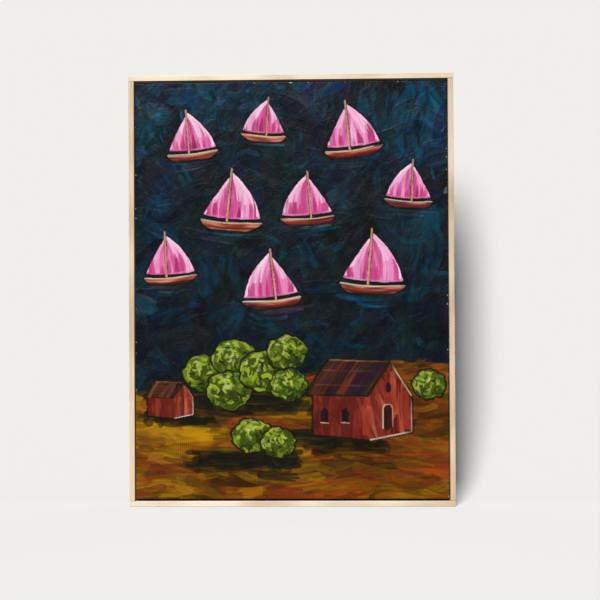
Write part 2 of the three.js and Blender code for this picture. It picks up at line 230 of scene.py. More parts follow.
def raw_canvas():
    """Cotton duck: two sets of threads, slubs, and dark paint run over the sides near the front."""
    s = Shader("raw_canvas", roughness=0.92, specular=0.2)
    waves, slubs = [], []
    outside = 0.0
    for axis in (0, 2):
        stretched = [0.06, 0.06, 0.06]
        stretched[axis] = 1.0
        uneven = s.noise(s.place(scale=stretched), 160)
        turn = s.plus(s.math("MULTIPLY", s.along(axis), 2 * math.pi / (0.9 * MM)), uneven, 2.2)
        waves.append(s.math("ABSOLUTE", s.math("SINE", turn)))
        slubs.append(uneven)
        out = s.math("ABSOLUTE", s.math("SUBTRACT", s.along(axis), CANVAS_MIDDLE[axis]))
        side = CANVAS_HALF[axis]
        outside = s.math("MAXIMUM", outside, s.span(out, side - 0.3 * MM, side - 0.2 * MM))
    weave = s.math("MAXIMUM", *waves)
    tone = s.plus(s.math("MULTIPLY", weave, 0.5), s.math("MULTIPLY", *slubs), 0.6)
    colour = s.ramp(tone, (0.2, linear(196, 184, 158)), (1.0, linear(240, 233, 216)))
    husk = s.span(s.noise(s.place(), 900, detail=1), 0.7, 0.74)
    colour = s.mix("MIX", husk, colour, linear(150, 126, 92))
    drip = s.noise(s.place(scale=(1, 0.25, 1)), 70, detail=3, roughness=0.65)
    reach = s.plus(s.math("SUBTRACT", s.along(1), CANVAS_LOW.y), drip, -26 * MM)
    painted = s.math("MULTIPLY", s.span(reach, -2.6 * MM, -3.6 * MM), outside)
    s.feed("Base Color", s.mix("MIX", painted, colour, linear(24, 34, 42)))
    s.bump(weave, 0.6, 0.2 * MM)
    return s.material


def dry_paint():
    """Glossy acrylic: its colour comes from the painted cells, and its sheen varies from place to place."""
    s = Shader("dry_paint", specular=0.27)
    s.feed("Base Color", s.node("ShaderNodeAttribute", attribute_name=PAINT_LAYER).outputs["Color"])
    patches = s.noise(s.place(), 60, detail=4, roughness=0.65)
    s.feed("Roughness", s.span(patches, 0.3, 0.7, 0.2, 0.36))
    s.bump(s.noise(s.place(scale=(1, 1, 0.35)), 900, detail=3, roughness=0.6), 0.3, 0.12 * MM)
    return s.material


# ---- stage and light
BACKDROP_TONE = linear(240, 239, 235)
STAGE_REACH = 6.0
COVE_RADIUS = 0.2
FLOOR_GLOW = 0.32
GLOW_TONE = scaled(BACKDROP_TONE, 0.955)
# A tall soft box, as overlapping discs of light: where each comes from, and how strong it is.
KEY_SIDEWAYS = -0.19
KEY_LIGHTS = [
    (Vector((KEY_SIDEWAYS, -1.0, math.tan(math.radians(height)))).normalized(), strength)
    for height, strength in ((35, 1.59), (42, 1.28), (49, 1.59))
]
KEY_ANGLE_DEG = 16
BACK_LIGHTS = ((Vector((1.0, 0.9, -0.1)), 2.2), (Vector((-1.0, 0.9, -0.1)), 1.8))
BACK_ANGLE_DEG = 30
AMBIENT = 0.05


def paper(name):
    s = Shader(name, roughness=0.95, specular=0.0)
    s.feed("Emission Color", GLOW_TONE)
    return s


def make_backdrop():
    """A pale floor that curves up into a wall, seen only from its front. Its tone allows for how squarely the
    key light meets it, so that it looks even. Its level part glows a little, as if lit by the room."""
    s = paper("stage_paper")
    surface = s.node("ShaderNodeNewGeometry")
    normal = surface.outputs["Normal"]
    arriving = AMBIENT
    for direction, strength in KEY_LIGHTS:
        inputs = {0: normal, 1: tuple(direction)}
        square = s.node("ShaderNodeVectorMath", inputs, operation="DOT_PRODUCT").outputs["Value"]
        arriving = s.plus(arriving, s.math("MAXIMUM", square, 0.0), strength / math.pi)
    glow = s.span(s.along(2, normal), 0.88, 1.0, 0.0, FLOOR_GLOW)
    inputs = {0: BACKDROP_TONE[:3], "Scale": s.math("DIVIDE", s.math("SUBTRACT", 1.0, glow), arriving)}
    s.feed("Base Color", s.node("ShaderNodeVectorMath", inputs, operation="SCALE").outputs[0])
    s.feed("Emission Strength", glow)
    clear = s.node("ShaderNodeBsdfTransparent").outputs[0]
    inputs = {0: surface.outputs["Backfacing"], 1: s.principled.outputs[0], 2: clear}
    s.show(s.node("ShaderNodeMixShader", inputs).outputs[0])
    profile = [(-STAGE_REACH, FLOOR_Z)]
    for turn in np.radians(np.linspace(0, 90, 46)):
        profile.append((WALL_Y + COVE_RADIUS * math.sin(turn), FLOOR_Z + COVE_RADIUS * (1 - math.cos(turn))))
    profile.append((WALL_Y + COVE_RADIUS, STAGE_REACH))
    points = [(x, y, z) for y, z in profile for x in (-STAGE_REACH, STAGE_REACH)]
    faces = [(2 * i, 2 * i + 1, 2 * i + 3, 2 * i + 2) for i in range(len(profile) - 1)]
    add_stage("stage_backdrop", points, faces, s.material)


def make_surround():
    """A plain pale room for views from behind: a floor beyond the wall, and a dome that gives no light."""
    s = Shader("stage_surround")
    s.show(s.node("ShaderNodeEmission", {"Color": BACKDROP_TONE, "Strength": 1.0}).outputs[0])
    r, sides = STAGE_REACH, 24
    turns = [2 * math.pi * i / sides for i in range(sides)]
    points = [(r * math.cos(turn), r * math.sin(turn), z) for z in (-r, r) for turn in turns]
    faces = [(i, (i + 1) % sides, sides + (i + 1) % sides, sides + i) for i in range(sides)]
    faces += [tuple(range(sides)), tuple(range(sides, 2 * sides))]
    add_stage("stage_surround", points, faces, s.material)
    floor = paper("stage_floor_behind")
    # This floor glows a little, as if lit by the room: painted fill light, so that the shadow on it is soft.
    floor.feed("Base Color", scaled(BACKDROP_TONE, 1 - FLOOR_GLOW))
    floor.feed("Emission Strength", FLOOR_GLOW)
    points = [(x, y, FLOOR_Z - MM) for x, y in ((-r, WALL_Y), (r, WALL_Y), (r, r), (-r, r))]
    add_stage("stage_floor_behind", points, [(0, 1, 2, 3)], floor.material)


def add_stage(name, points, faces, material):
    mesh = bpy.data.meshes.new(name)
    mesh.from_pydata(points, [], faces)
    mesh.materials.append(material)
    material.cycles.emission_sampling = "NONE"
    mesh.shade_smooth()
    plane = add_object(name, mesh)
    plane.visible_diffuse = False
    plane.visible_glossy = False
    plane.visible_shadow = False


def make_sun(name, direction, strength, angle):
    data = bpy.data.lights.new(name, "SUN")
    data.energy = strength
    data.angle = math.radians(angle)
    sun = add_object(name, data)
    sun.rotation_euler = direction.to_track_quat("Z", "Y").to_euler()


make_backdrop()
make_surround()
for direction, strength in KEY_LIGHTS:
    make_sun("key", direction, strength, KEY_ANGLE_DEG)
for direction, strength in BACK_LIGHTS:
    make_sun("behind", direction, strength, BACK_ANGLE_DEG)
world = bpy.data.worlds.new("world")
world.use_nodes = True
background = world.node_tree.nodes["Background"].inputs
background["Color"].default_value = (1, 1, 1, 1)
background["Strength"].default_value = AMBIENT
bpy.context.scene.world = world
bpy.context.scene.view_settings.view_transform = "Standard"

# ---- brushes on a grid of cells, in mm
# x runs to the right from the canvas's middle, and h up from its lower edge.
CANVAS_WIDE, CANVAS_TALL = (round((CANVAS_HIGH[i] - CANVAS_LOW[i]) / MM, 1) for i in (0, 2))
CELLS_X, CELLS_H = 610, 813
CELL_X, CELL_H = CANVAS_WIDE / CELLS_X, CANVAS_TALL / CELLS_H
GRID_X, GRID_H = np.meshgrid(
    (np.arange(CELLS_X) + 0.5) * CELL_X - CANVAS_WIDE / 2, CANVAS_TALL - (np.arange(CELLS_H) + 0.5) * CELL_H
)
THREAD_PITCH = 2.9
TABLE = rng.random((512, 128))
TABLE = (TABLE + np.roll(TABLE, 1, 0) * 0.6) / 1.6


def ease(low, high, x):
    t = np.clip((x - low) / (high - low), 0, 1)
    return t * t * (3 - 2 * t)


def bilinear(table, row, column):
    """A wrapped table's values between its cells, eased so that no cell shows."""
    r, c = np.floor(row).astype(int), np.floor(column).astype(int)
    fr, fc = ease(0, 1, row - r), ease(0, 1, column - c)
    r0, r1 = r % table.shape[0], (r + 1) % table.shape[0]
    c0, c1 = c % table.shape[1], (c + 1) % table.shape[1]
    top = table[r0, c0] * (1 - fc) + table[r0, c1] * fc
    low = table[r1, c0] * (1 - fc) + table[r1, c1] * fc
    return top * (1 - fr) + low * fr


def threads(across, along):
    """One set of the cloth's threads, from 0 to 1: each wanders a little and is thicker in places."""
    wander = 1.6 * bilinear(TABLE, across / 40, along / 30)
    slub = 0.3 + 1.4 * bilinear(TABLE, across / THREAD_PITCH, along / 14)
    return 0.5 + 0.5 * slub * np.sin(across * 2 * np.pi / THREAD_PITCH + wander)


THREADS = 0.5 * (threads(GRID_X, GRID_H) + threads(GRID_H, GRID_X))


def cloud(cell_x, cell_h, layers=2):
    """Soft noise over the whole canvas, from 0 to 1."""
    total = 0
    for layer in range(layers):
        right, up = rng.random(2) * 400
        size = 2**layer
        total = total + bilinear(TABLE, GRID_X * size / cell_x + right, GRID_H * size / cell_h + up) / size
    return total / sum(0.5**layer for layer in range(layers))


colour = np.zeros((CELLS_H, CELLS_X, 3))
relief = np.zeros((CELLS_H, CELLS_X))


def window(points, reach):
    """The part of the grid that covers points and this much round them, in mm."""
    (x0, h0), (x1, h1) = points.min(axis=0) - reach, points.max(axis=0) + reach
    i0, i1 = int((x0 + CANVAS_WIDE / 2) / CELL_X), int((x1 + CANVAS_WIDE / 2) / CELL_X) + 2
    j0, j1 = int((CANVAS_TALL - h1) / CELL_H) - 1, int((CANVAS_TALL - h0) / CELL_H) + 2
    return slice(max(j0, 0), max(min(j1, CELLS_H), 0)), slice(max(i0, 0), max(min(i1, CELLS_X), 0))


def between(a, b, share):
    return np.array(a, float) * (1 - share) + np.array(b, float) * share


def curve(points, step=1.5):
    """Points spaced evenly along a smooth line through the given ones."""
    points = np.asarray(points, float)
    if len(points) > 2:
        ends = np.vstack([2 * points[0] - points[1], points, 2 * points[-1] - points[-2]])
        t = np.linspace(0, 1, 9)[:-1, None]
        parts = []
        for a, b, c, d in zip(ends, ends[1:], ends[2:], ends[3:]):
            cubic = (2 * a - 5 * b + 4 * c - d) * t**2 + (3 * b - a - 3 * c + d) * t**3
            parts.append(0.5 * (2 * b + (c - a) * t + cubic))
        points = np.vstack([*parts, points[-1:]])
    along = np.concatenate([[0], np.cumsum(np.hypot(*np.diff(points, axis=0).T))])
    count = max(int(along[-1] / step), 2)
    s = np.linspace(0, along[-1], count + 1)
    return np.column_stack([np.interp(s, along, points[:, 0]), np.interp(s, along, points[:, 1])]), s


def stroke(points, width, tint, other, paint, inside=None, streak=0.5, pointed=0.0):
    """Draw one loaded brush along a line: bristle streaks of two tints, a ragged end and raised edges. The
    paint is how opaque, how thick and how dry it is, each from 0 to 1."""
    opacity, load, dry = paint
    path, s = curve(points, max(1.2, width / 6))
    cells = window(path, width / 2 + 1.5)
    x, h = GRID_X[cells], GRID_H[cells]
    if x.size == 0:
        return
    tangent = np.gradient(path, axis=0)
    tangent /= np.hypot(tangent[:, 0], tangent[:, 1])[:, None] + 1e-9
    near = np.argmin((x[..., None] - path[:, 0]) ** 2 + (h[..., None] - path[:, 1]) ** 2, axis=-1)
    dx, dh = x - path[near, 0], h - path[near, 1]
    along = s[near] + dx * tangent[near, 0] + dh * tangent[near, 1]
    across = dh * tangent[near, 0] - dx * tangent[near, 1]
    shift = rng.random(4) * 500
    hair = bilinear(TABLE, across / 0.85 + shift[0], along / 16 + shift[1])
    soft = bilinear(TABLE, across / 3.0 + shift[2], along / 22 + shift[3])
    length = s[-1]
    progress = np.clip(along / max(length, 1), 0, 1)
    u = np.abs(across) / np.maximum(width / 2 * (1 - pointed * ease(0.35, 1.05, progress)), 0.2)
    lag = width * (0.3 * (1 - np.clip(u, 0, 1) ** 2) + 0.35 * (hair - 0.5))
    lack = dry * (0.35 + 1.1 * progress)
    catch = 0.25 * min(1, width / 12) * (THREADS[cells] - 0.5)
    cover = 1 - ease(0.84, 1.06, u + 0.22 * (soft - 0.5))
    cover = cover * ease(-0.6, 0.9, along + lag) * ease(-0.6, 1.2, length - along + lag * 1.6)
    cover = cover * ease(lack - 0.22, lack + 0.12, 0.68 * hair + 0.24 * soft + 0.1 + catch)
    if inside is not None:
        cover = cover * inside[cells]
    share = np.clip((soft - 0.5) * 2.4 * streak + (hair - 0.5) * 0.9 * streak + 0.35, 0, 1)[..., None]
    mixed = between(tint, other, share) * (1 + 0.24 * (hair - 0.5))[..., None]
    colour[cells] = between(colour[cells], mixed, (cover * opacity)[..., None])
    added = load * (0.15 + 0.75 * hair + 0.5 * soft + 0.7 * np.exp(-(((u - 0.86) / 0.13) ** 2)))
    relief[cells] = relief[cells] * (1 - 0.3 * cover * opacity) + cover * added


def depth_of(polygon, margin=14.0):
    """Signed distance in mm to a polygon's edge, positive inside. Far outside it is only the margin."""
    polygon = np.asarray(polygon, float)
    cells = window(polygon, margin)
    x, h = GRID_X[cells], GRID_H[cells]
    nearest, odd = np.full(x.shape, 1e9), np.zeros(x.shape, bool)
    for (ax, ah), (bx, bh) in zip(polygon, np.roll(polygon, -1, axis=0)):
        ex, eh = bx - ax, bh - ah
        t = np.clip(((x - ax) * ex + (h - ah) * eh) / (ex * ex + eh * eh + 1e-9), 0, 1)
        nearest = np.minimum(nearest, (x - ax - t * ex) ** 2 + (h - ah - t * eh) ** 2)
        if ah != bh:
            odd ^= ((ah > h) != (bh > h)) & (x < ax + ex * (h - ah) / eh)
    full = np.full(GRID_X.shape, -margin)
    full[cells] = np.where(odd, 1, -1) * np.sqrt(nearest)
    return full


def fill(edge, tint, load, soft, opacity=1.0):
    """Lay an even coat over the cells that lie inside an edge, and return how far it covers each."""
    cover = ease(-soft, soft, edge) * opacity
    colour[:] = between(colour, tint, cover[..., None])
    relief[:] = relief * (1 - 0.3 * cover) + cover * load
    return cover


def some(low, high):
    return rng.uniform(low, high)


def sway(spread):
    return rng.normal() * spread


def pick(*choices):
    return choices[rng.integers(len(choices))]


def vary(tint, amount=0.08):
    tint = np.asarray(tint, float)
    return np.clip(tint * (1 + amount * rng.normal()) + 255 * amount * 0.12 * rng.normal(size=3), 0, 255)


# ---- the picture
INK, NAVY, PLUM, SLATE = (14, 18, 21), (12, 23, 42), (40, 18, 46), (60, 74, 70)
TEAL, CERULEAN, FOAM, BLUE = (6, 64, 84), (6, 102, 142), (100, 148, 160), (10, 44, 88)
PALE_PINK, PINK, MAGENTA, WINE = (242, 206, 224), (220, 132, 180), (190, 54, 118), (118, 22, 68)
ROSE, SALMON, TAN, CREAM = (230, 164, 200), (206, 132, 112), (176, 142, 100), (226, 214, 184)
LIME, LEAF, OLIVE, SAGE, MOSS = (158, 176, 44), (100, 126, 28), (60, 76, 16), (160, 180, 132), (26, 36, 12)
GOLD, OCHRE, RUST, UMBER, BRASS = (162, 116, 10), (136, 88, 4), (112, 42, 14), (54, 30, 8), (206, 162, 44)
CLAY, BRICK, EMBER, LIFT = (150, 54, 36), (88, 26, 20), (180, 78, 52), (202, 118, 92)
GREEN_BLACK, WHITE, BRONZE = (20, 22, 10), (236, 230, 222), (84, 66, 8)


def shore_line(x):
    return 176 + 0.09 * x + 12 * np.sin(x / 70)


BOATS = [
    (-148, 500, 66, 5, 1), (-36, 526, 58, -4, -1), (88, 503, 74, 6, 1), (176, 428, 62, -3, -1),
    (-94, 398, 80, -5, 1), (30, 404, 70, 4, -1), (-182, 318, 68, 3, 1), (112, 304, 84, -4, 1),
    (-22, 284, 76, 6, -1),
]
CLUMPS = [
    (-128, 184, 32), (-84, 204, 34), (-92, 158, 34), (-42, 186, 36), (-6, 214, 30), (-4, 166, 28),
    (-58, 92, 30), (-20, 82, 26), (200, 166, 25),
]
COTTAGES = [(28, 86, 1.0), (-212, 118, 0.46)]
COTTAGE_WALLS = [(4, 8), (84, 0), (146, 12), (146, 64), (116, 110), (84, 62), (4, 64)]
COTTAGE_ROOF = [(-6, 66), (81, 64.5), (113, 112.5), (26, 116)]


def straight(x, h, angle, length, bend=0.0):
    """Three points of a slightly bent line about its middle."""
    ux, uh = length * math.cos(angle), length * math.sin(angle)
    return [(x - ux / 2, h - uh / 2), (x - uh * bend, h + ux * bend), (x + ux / 2, h + uh / 2)]


def choose(tints, weights):
    weights = np.maximum(weights, 0)
    return tints[rng.choice(len(tints), p=weights / weights.sum())]


def sea_light(right, high):
    """How light and blue the sea is at a place: most in the upper corners and along both edges. There it is
    partly the sea's own blue and partly painted highlight, in place of the gloss that catches the light.
    """
    places = (
        (0.05, 0.99, 0.24, 0.14, 1.5), (0.5, 1.02, 0.22, 0.09, 0.8), (0.96, 0.95, 0.16, 0.16, 1.0),
        (1.02, 0.62, 0.1, 0.2, 0.7), (-0.02, 0.66, 0.09, 0.26, 0.9), (0.0, 0.2, 0.07, 0.16, 0.5),
    )
    return sum(
        much * math.exp(-(((right - a) / wide) ** 2) - ((high - b) / tall) ** 2)
        for a, b, wide, tall, much in places
    )


def paint_sea():
    """Broad thin strokes, one over another and near black in the middle, then short ones where it is lit:
    partly the sea's own pale strokes and partly painted highlights of the gloss.
    """
    colour[:] = INK
    broad = (INK, NAVY, PLUM, SLATE, TEAL, CERULEAN, BLUE, (24, 30, 30))
    layers = ((230, (28, 52), (0.5, 0.85)), (360, (14, 28), (0.25, 0.62)), (300, (5, 12), (0.25, 0.62)))
    for layer, (count, wide, opaque) in enumerate(layers):
        for _ in range(count):
            x, h = some(-235, 235), some(130, 618)
            right, high = (x + 228) / 457, (h - 180) / 430
            light = sea_light(right, high) * some(0.3, 1.2)
            plum = math.exp(-(((right - 0.62) / 0.16) ** 2) - ((high - 0.86) / 0.2) ** 2)
            slate = math.exp(-((right / 0.1) ** 2)) + 0.5 * math.exp(-(((1 - right) / 0.08) ** 2))
            weights = [
                2.4 - 1.8 * light, 0.8 + 0.4 * light, 0.05 + 1.1 * plum, 0.02 + 0.8 * slate,
                0.15 + 1.6 * light, 1.2 * light - 0.4, 0.1 + light, 1.0 - 0.6 * light,
            ]
            tint = vary(choose(broad, weights), 0.14)
            angle = pick(0.9, 1.25, 2.1, 1.57, 0.5, -0.2) + sway(0.22)
            line = straight(x, h, angle, some(1.5, 3.2) * some(*wide), sway(0.1))
            width, other = some(*wide), pick(INK, NAVY, TEAL, INK)
            stroke(line, width, tint, other, (some(*opaque), 0.06 + 0.03 * layer, some(0.1, 0.6)), streak=0.9)
    glints = (FOAM, CERULEAN, (22, 78, 110), (40, 68, 80), (50, 32, 76))
    for _ in range(420):
        x, h = some(-230, 230), some(190, 608)
        if rng.random() > sea_light((x + 228) / 457, (h - 180) / 430) ** 2:
            continue
        tint = choose(glints, [0.12, 1.5, 1.8, 0.8, 0.4])
        line = straight(x, h, pick(0.8, 1.2, 2.2, 1.57) + sway(0.3), some(10, 34), sway(0.12))
        stroke(line, some(2.5, 7), tint, BLUE, (some(0.3, 0.65), 0.12, some(0.5, 0.85)), streak=1.2)


def patch(x, h, wide, tall, number):
    """A soft random share from 0 to 1 that stays alike over patches of this size."""
    return float(ease(0.42, 0.68, bilinear(TABLE, x / wide + 40 * number, h / tall + 17 * number)))


def paint_shore():
    """Glazes of gold, ochre and rust in broad level strokes; browner to the right and near the lower edge."""
    edge = shore_line(GRID_X) - GRID_H + 9 * (cloud(34, 12) - 0.5) + 3 * (cloud(6, 4) - 0.5)
    inside = fill(edge, (88, 54, 4), 0.06, 2.0)
    tints = (GOLD, OCHRE, RUST, UMBER, BRASS, BRONZE, (148, 62, 14))
    layers = ((190, (18, 40), (0.5, 0.9)), (240, (9, 20), (0.3, 0.65)), (150, (2, 7), (0.25, 0.6)))
    for layer, (count, wide, opaque) in enumerate(layers):
        for _ in range(count):
            x, h = some(-235, 235), some(-4, 205)
            right, low = (x + 228) / 457, 1 - h / 180
            rusty = (0.25 + 1.1 * right) * patch(x, h, 70, 20, 1) + 0.9 * max(0, right - 0.5)
            rusty += 1.6 * max(0, low - 0.8)
            dim = patch(x, h, 80, 24, 2) + 1.5 * max(0, low - 0.75)
            golden = patch(x, h, 60, 18, 3) * (1.3 - right)
            weights = [
                0.6 + 2.0 * golden - 0.5 * rusty, 0.9 - 0.4 * dim, 0.05 + 1.8 * rusty, 0.1 + 2.2 * dim,
                (0.04 + 0.3 * layer) * golden, 0.3 + 1.4 * dim * (1 - right), 0.1 + 1.5 * rusty,
            ]
            tint = vary(choose(tints, weights), 0.08)
            angle = sway(0.13) + 0.12 * math.sin(x / 60 + h / 40)
            line = straight(x, h, angle, some(2.2, 5.0) * max(some(*wide), 8), sway(0.06))
            width, other = some(*wide), pick(OCHRE, BRONZE, UMBER, RUST) if layer else tint
            paint = (some(*opaque), 0.04 + 0.04 * layer, some(0.1, 0.7))
            stroke(line, width, tint, other, paint, inside, streak=0.9)
    for _ in range(46):
        x = some(-228, 228)
        line = straight(x, shore_line(x) + sway(3), sway(0.2), some(14, 40))
        stroke(line, some(4, 9), pick(GREEN_BLACK, INK, BRONZE, UMBER, OCHRE), INK, (0.55, 0.04, 0.5))
    worn = (0.5 - THREADS) * inside * (0.15 + 1.2 * ease(0.45, 0.8, cloud(46, 26)))
    colour[:] = colour * (1 - 0.3 * worn[..., None])


def boat_points(boat, points):
    """Points given in shares of a boat's size, from the foot of its mast, as places on the canvas."""
    x, h, size, tilt, facing = boat
    angle = math.radians(tilt)
    turn = np.array([[math.cos(angle), math.sin(angle)], [-math.sin(angle), math.cos(angle)]])
    return (np.asarray(points, float) * (facing * size, size)) @ turn + (x, h)


def brush(boat, points, width, *tints_and_paint, **more):
    stroke(boat_points(boat, points), boat[2] * width, *tints_and_paint, **more)


def bend(a, b, c, count=10):
    t = np.linspace(0, 1, count)[:, None]
    return np.array(a) * (1 - t) ** 2 + 2 * np.array(b) * t * (1 - t) + np.array(c) * t * t


def outline(*sides):
    return np.vstack([bend(*side) for side in sides])


JIB = outline(((-0.025, 0.9), (-0.3, 0.5), (-0.44, 0.2)), ((-0.44, 0.2), (-0.2, 0.14), (-0.03, 0.17)))
MAIN = outline(((0.03, 0.165), (0.3, 0.13), (0.6, 0.2)), ((0.6, 0.2), (0.47, 0.66), (0.035, 0.99)))
HULL = outline(
    ((-0.5, 0.1), (0, 0.06), (0.66, 0.12)), ((0.66, 0.12), (0.52, -0.03), (0.34, -0.06)),
    ((-0.3, -0.06), (-0.44, -0.03), (-0.5, 0.1)),
)


def loose(size=1.0):
    """How far a hand-drawn edge strays from its line, in mm."""
    return size * (2.0 * (cloud(9, 9) - 0.5) + 0.9 * (cloud(2.6, 2.6, 1) - 0.5))


def paint_sail(boat, shape, near, far, tip, side):
    """One sail in strokes between foot and tip: magenta by the mast, pale at the tip and free edge."""
    depth = depth_of(boat_points(boat, shape))
    stray = loose(0.8)
    fill(depth + 2.0 + stray * 2.2, INK, 0.04, 1.0, 0.9)
    fill(depth + stray, PINK, 0.26, 0.45)
    inside = ease(-0.5, 0.5, depth + stray)

    def lane_line(lane, low, high):
        foot = between(near, far, lane)
        middle = between(foot, tip, 0.5) + (0.15 * side * lane, 0.02)
        whole = bend(foot, 2 * middle - between(foot, tip, 0.5), tip, 21)
        return whole[int(20 * low):int(20 * high) + 1]

    for lane in rng.permutation(np.linspace(0.04, 0.97, 8)):
        near_mast, free = ease(0.0, 0.45, lane), ease(0.45, 0.9, lane)
        tint = between(MAGENTA, PINK, near_mast) if lane < 0.45 else between(PINK, ROSE, free)
        line = lane_line(lane, 0, 1)[:: 1 if rng.random() < 0.5 else -1]
        width, tint, other = some(0.08, 0.15), vary(tint, 0.05), pick(PINK, ROSE, MAGENTA)
        brush(boat, line, width, tint, other, (0.85, 0.12, some(0.1, 0.45)), inside, streak=0.8)
    for _ in range(6):
        lane, tint = some(0, 0.95), pick(MAGENTA, MAGENTA, WINE, (214, 82, 150))
        line = lane_line(lane, 0, some(0.2, 0.5))
        brush(boat, line, some(0.05, 0.11), tint, MAGENTA, (0.75, 0.1, 0.35), inside, pointed=0.6)
    for _ in range(5):
        line = lane_line(some(0.3, 1.0), some(0.3, 0.6), 1)[::-1]
        brush(boat, line, some(0.06, 0.12), pick(PALE_PINK, PALE_PINK, ROSE), ROSE, (0.8, 0.14, 0.4), inside)
    brush(boat, lane_line(0.93, 0.05, 0.95), 0.045, PALE_PINK, (232, 214, 222), (0.85, 0.16, 0.35), inside)
    foot = bend(near, between(near, far, 0.5), far, 8)
    brush(boat, foot, 0.035, pick(ROSE, (206, 180, 190), SALMON), MAGENTA, (0.7, 0.12, 0.4))


def paint_boat(boat):
    """A hull with its reflection, two sails and a mast."""
    depth = depth_of(boat_points(boat, HULL))
    stray = loose(0.8)
    fill(depth + 2.6 + stray * 2.4, INK, 0.05, 1.2, 0.92)
    for lane in range(7):
        drop = -0.09 - 0.03 * lane
        reach, shift = 0.6 - 0.06 * lane + 0.12 * rng.random(), 0.1 * rng.normal()
        line = [(-reach * 0.8 + shift, drop), (0, drop - 0.02), (reach + shift, drop + 0.01)]
        width, tint = some(0.03, 0.06), pick(FOAM, PLUM, (132, 60, 104), CERULEAN, SLATE, INK)
        brush(boat, line, width, tint, INK, (0.5, 0.06, 0.55))
    paint_sail(boat, JIB, (-0.04, 0.17), (-0.42, 0.2), (-0.03, 0.9), -1)
    paint_sail(boat, MAIN, (0.04, 0.165), (0.58, 0.2), (0.04, 0.98), 1)
    mast = [(-0.004, 0.08), (0.002, 0.55), (0.004, 1.07)]
    brush(boat, mast, max(2.4 / boat[2], 0.04), SALMON, TAN, (0.95, 0.14, 0.15), streak=1.0)
    brush(boat, [(-0.018, 0.1), (-0.014, 0.6)], 0.014, CREAM, SALMON, (0.7, 0.06, 0.4))
    inside = fill(depth + stray, (104, 46, 42), 0.24, 0.5)
    for lane, tint in ((0.085, TAN), (0.055, SALMON), (0.02, CLAY), (-0.015, BRICK), (-0.045, UMBER)):
        line = [(-0.5, lane + 0.01), (0, lane - 0.025), (0.66, lane + 0.03)]
        width, tint, other = some(0.045, 0.065), vary(tint, 0.08), pick(SALMON, RUST, PLUM)
        brush(boat, line, width, tint, other, (0.85, 0.1, 0.35), inside, streak=0.9)
    brush(boat, [(-0.48, 0.1), (0, 0.067), (0.63, 0.12)], 0.026, CREAM, TAN, (0.8, 0.12, 0.4))


def paint_clump(x, h, radius):
    """A round bush: short curved dabs that follow its bulk, sunny at the upper left and mossy underneath."""
    angle = np.linspace(0, 2 * np.pi, 60)[:-1]
    lobes = 0.95 + 0.035 * np.sin(5 * angle + x) + 0.03 * np.sin(8 * angle + h) + 0.025 * np.sin(13 * angle)
    reach = radius * lobes
    depth = depth_of(np.column_stack([x + reach * np.cos(angle), h + 0.86 * reach * np.sin(angle)]))
    stray = loose(1.3)
    fill(depth + 2.4 + stray * 2.0, GREEN_BLACK, 0.04, 1.4, 0.92)
    inside = fill(depth + stray, OLIVE, 0.2, 0.6)

    def dab(turn, out, sweep, width, tint, other, paint, streak=0.5):
        middle = (x + radius * out * math.cos(turn), h + 0.86 * radius * out * math.sin(turn))
        line = straight(*middle, turn + 1.57 + sway(0.75), radius * sweep, sway(0.2))
        stroke(line[:: 1 if rng.random() < 0.5 else -1], width * radius, tint, other, paint, inside, streak)

    for _ in range(54):
        turn, out = some(0, 2 * np.pi), math.sqrt(some(0.01, 0.96))
        sunny = 0.5 + 0.5 * out * math.cos(turn - 2.1)
        weights = [1.6 * sunny**2, 0.9, 0.9 - 0.6 * sunny, 1.5 * (1 - sunny) ** 2]
        tint = vary(choose((LIME, LEAF, OLIVE, MOSS), weights), 0.08)
        sweep, width, other = some(0.22, 0.42), some(0.12, 0.22), pick(LEAF, LIME, OLIVE, MOSS)
        dab(turn, out, sweep, width, tint, other, (0.8, 0.11, some(0.15, 0.5)), 0.9)
    for _ in range(13):
        turn, out = 2.1 + sway(0.8), some(0.15, 0.85)
        sweep, width = some(0.14, 0.28), some(0.07, 0.13)
        tint = pick(SAGE, LIME, (190, 200, 120), (132, 156, 92))
        dab(turn, out, sweep, width, tint, LIME, (0.8, 0.15, 0.45))
    for _ in range(8):
        turn, out = -1.0 + sway(0.9), some(0.3, 0.95)
        dab(turn, out, 0.28, 0.09, pick(MOSS, GREEN_BLACK), OLIVE, (0.8, 0.0, 0.3))
    rims = ((some(0.9, 1.9), TAN), (some(2.4, 3.2), (186, 178, 104)), (some(-0.8, 0.2), (150, 132, 60)))
    size = reach.mean()
    for start, tint in rims:
        turns = start + np.linspace(0, some(0.5, 1.0), 6)
        line = np.column_stack([x + size * 0.96 * np.cos(turns), h + 0.83 * size * np.sin(turns)])
        stroke(line, radius * 0.09, tint, LEAF, (0.75, 0.14, 0.5), inside, streak=1.0)


def cottage_points(cottage, points):
    return np.asarray(points, float) * cottage[2] + (cottage[0], cottage[1])


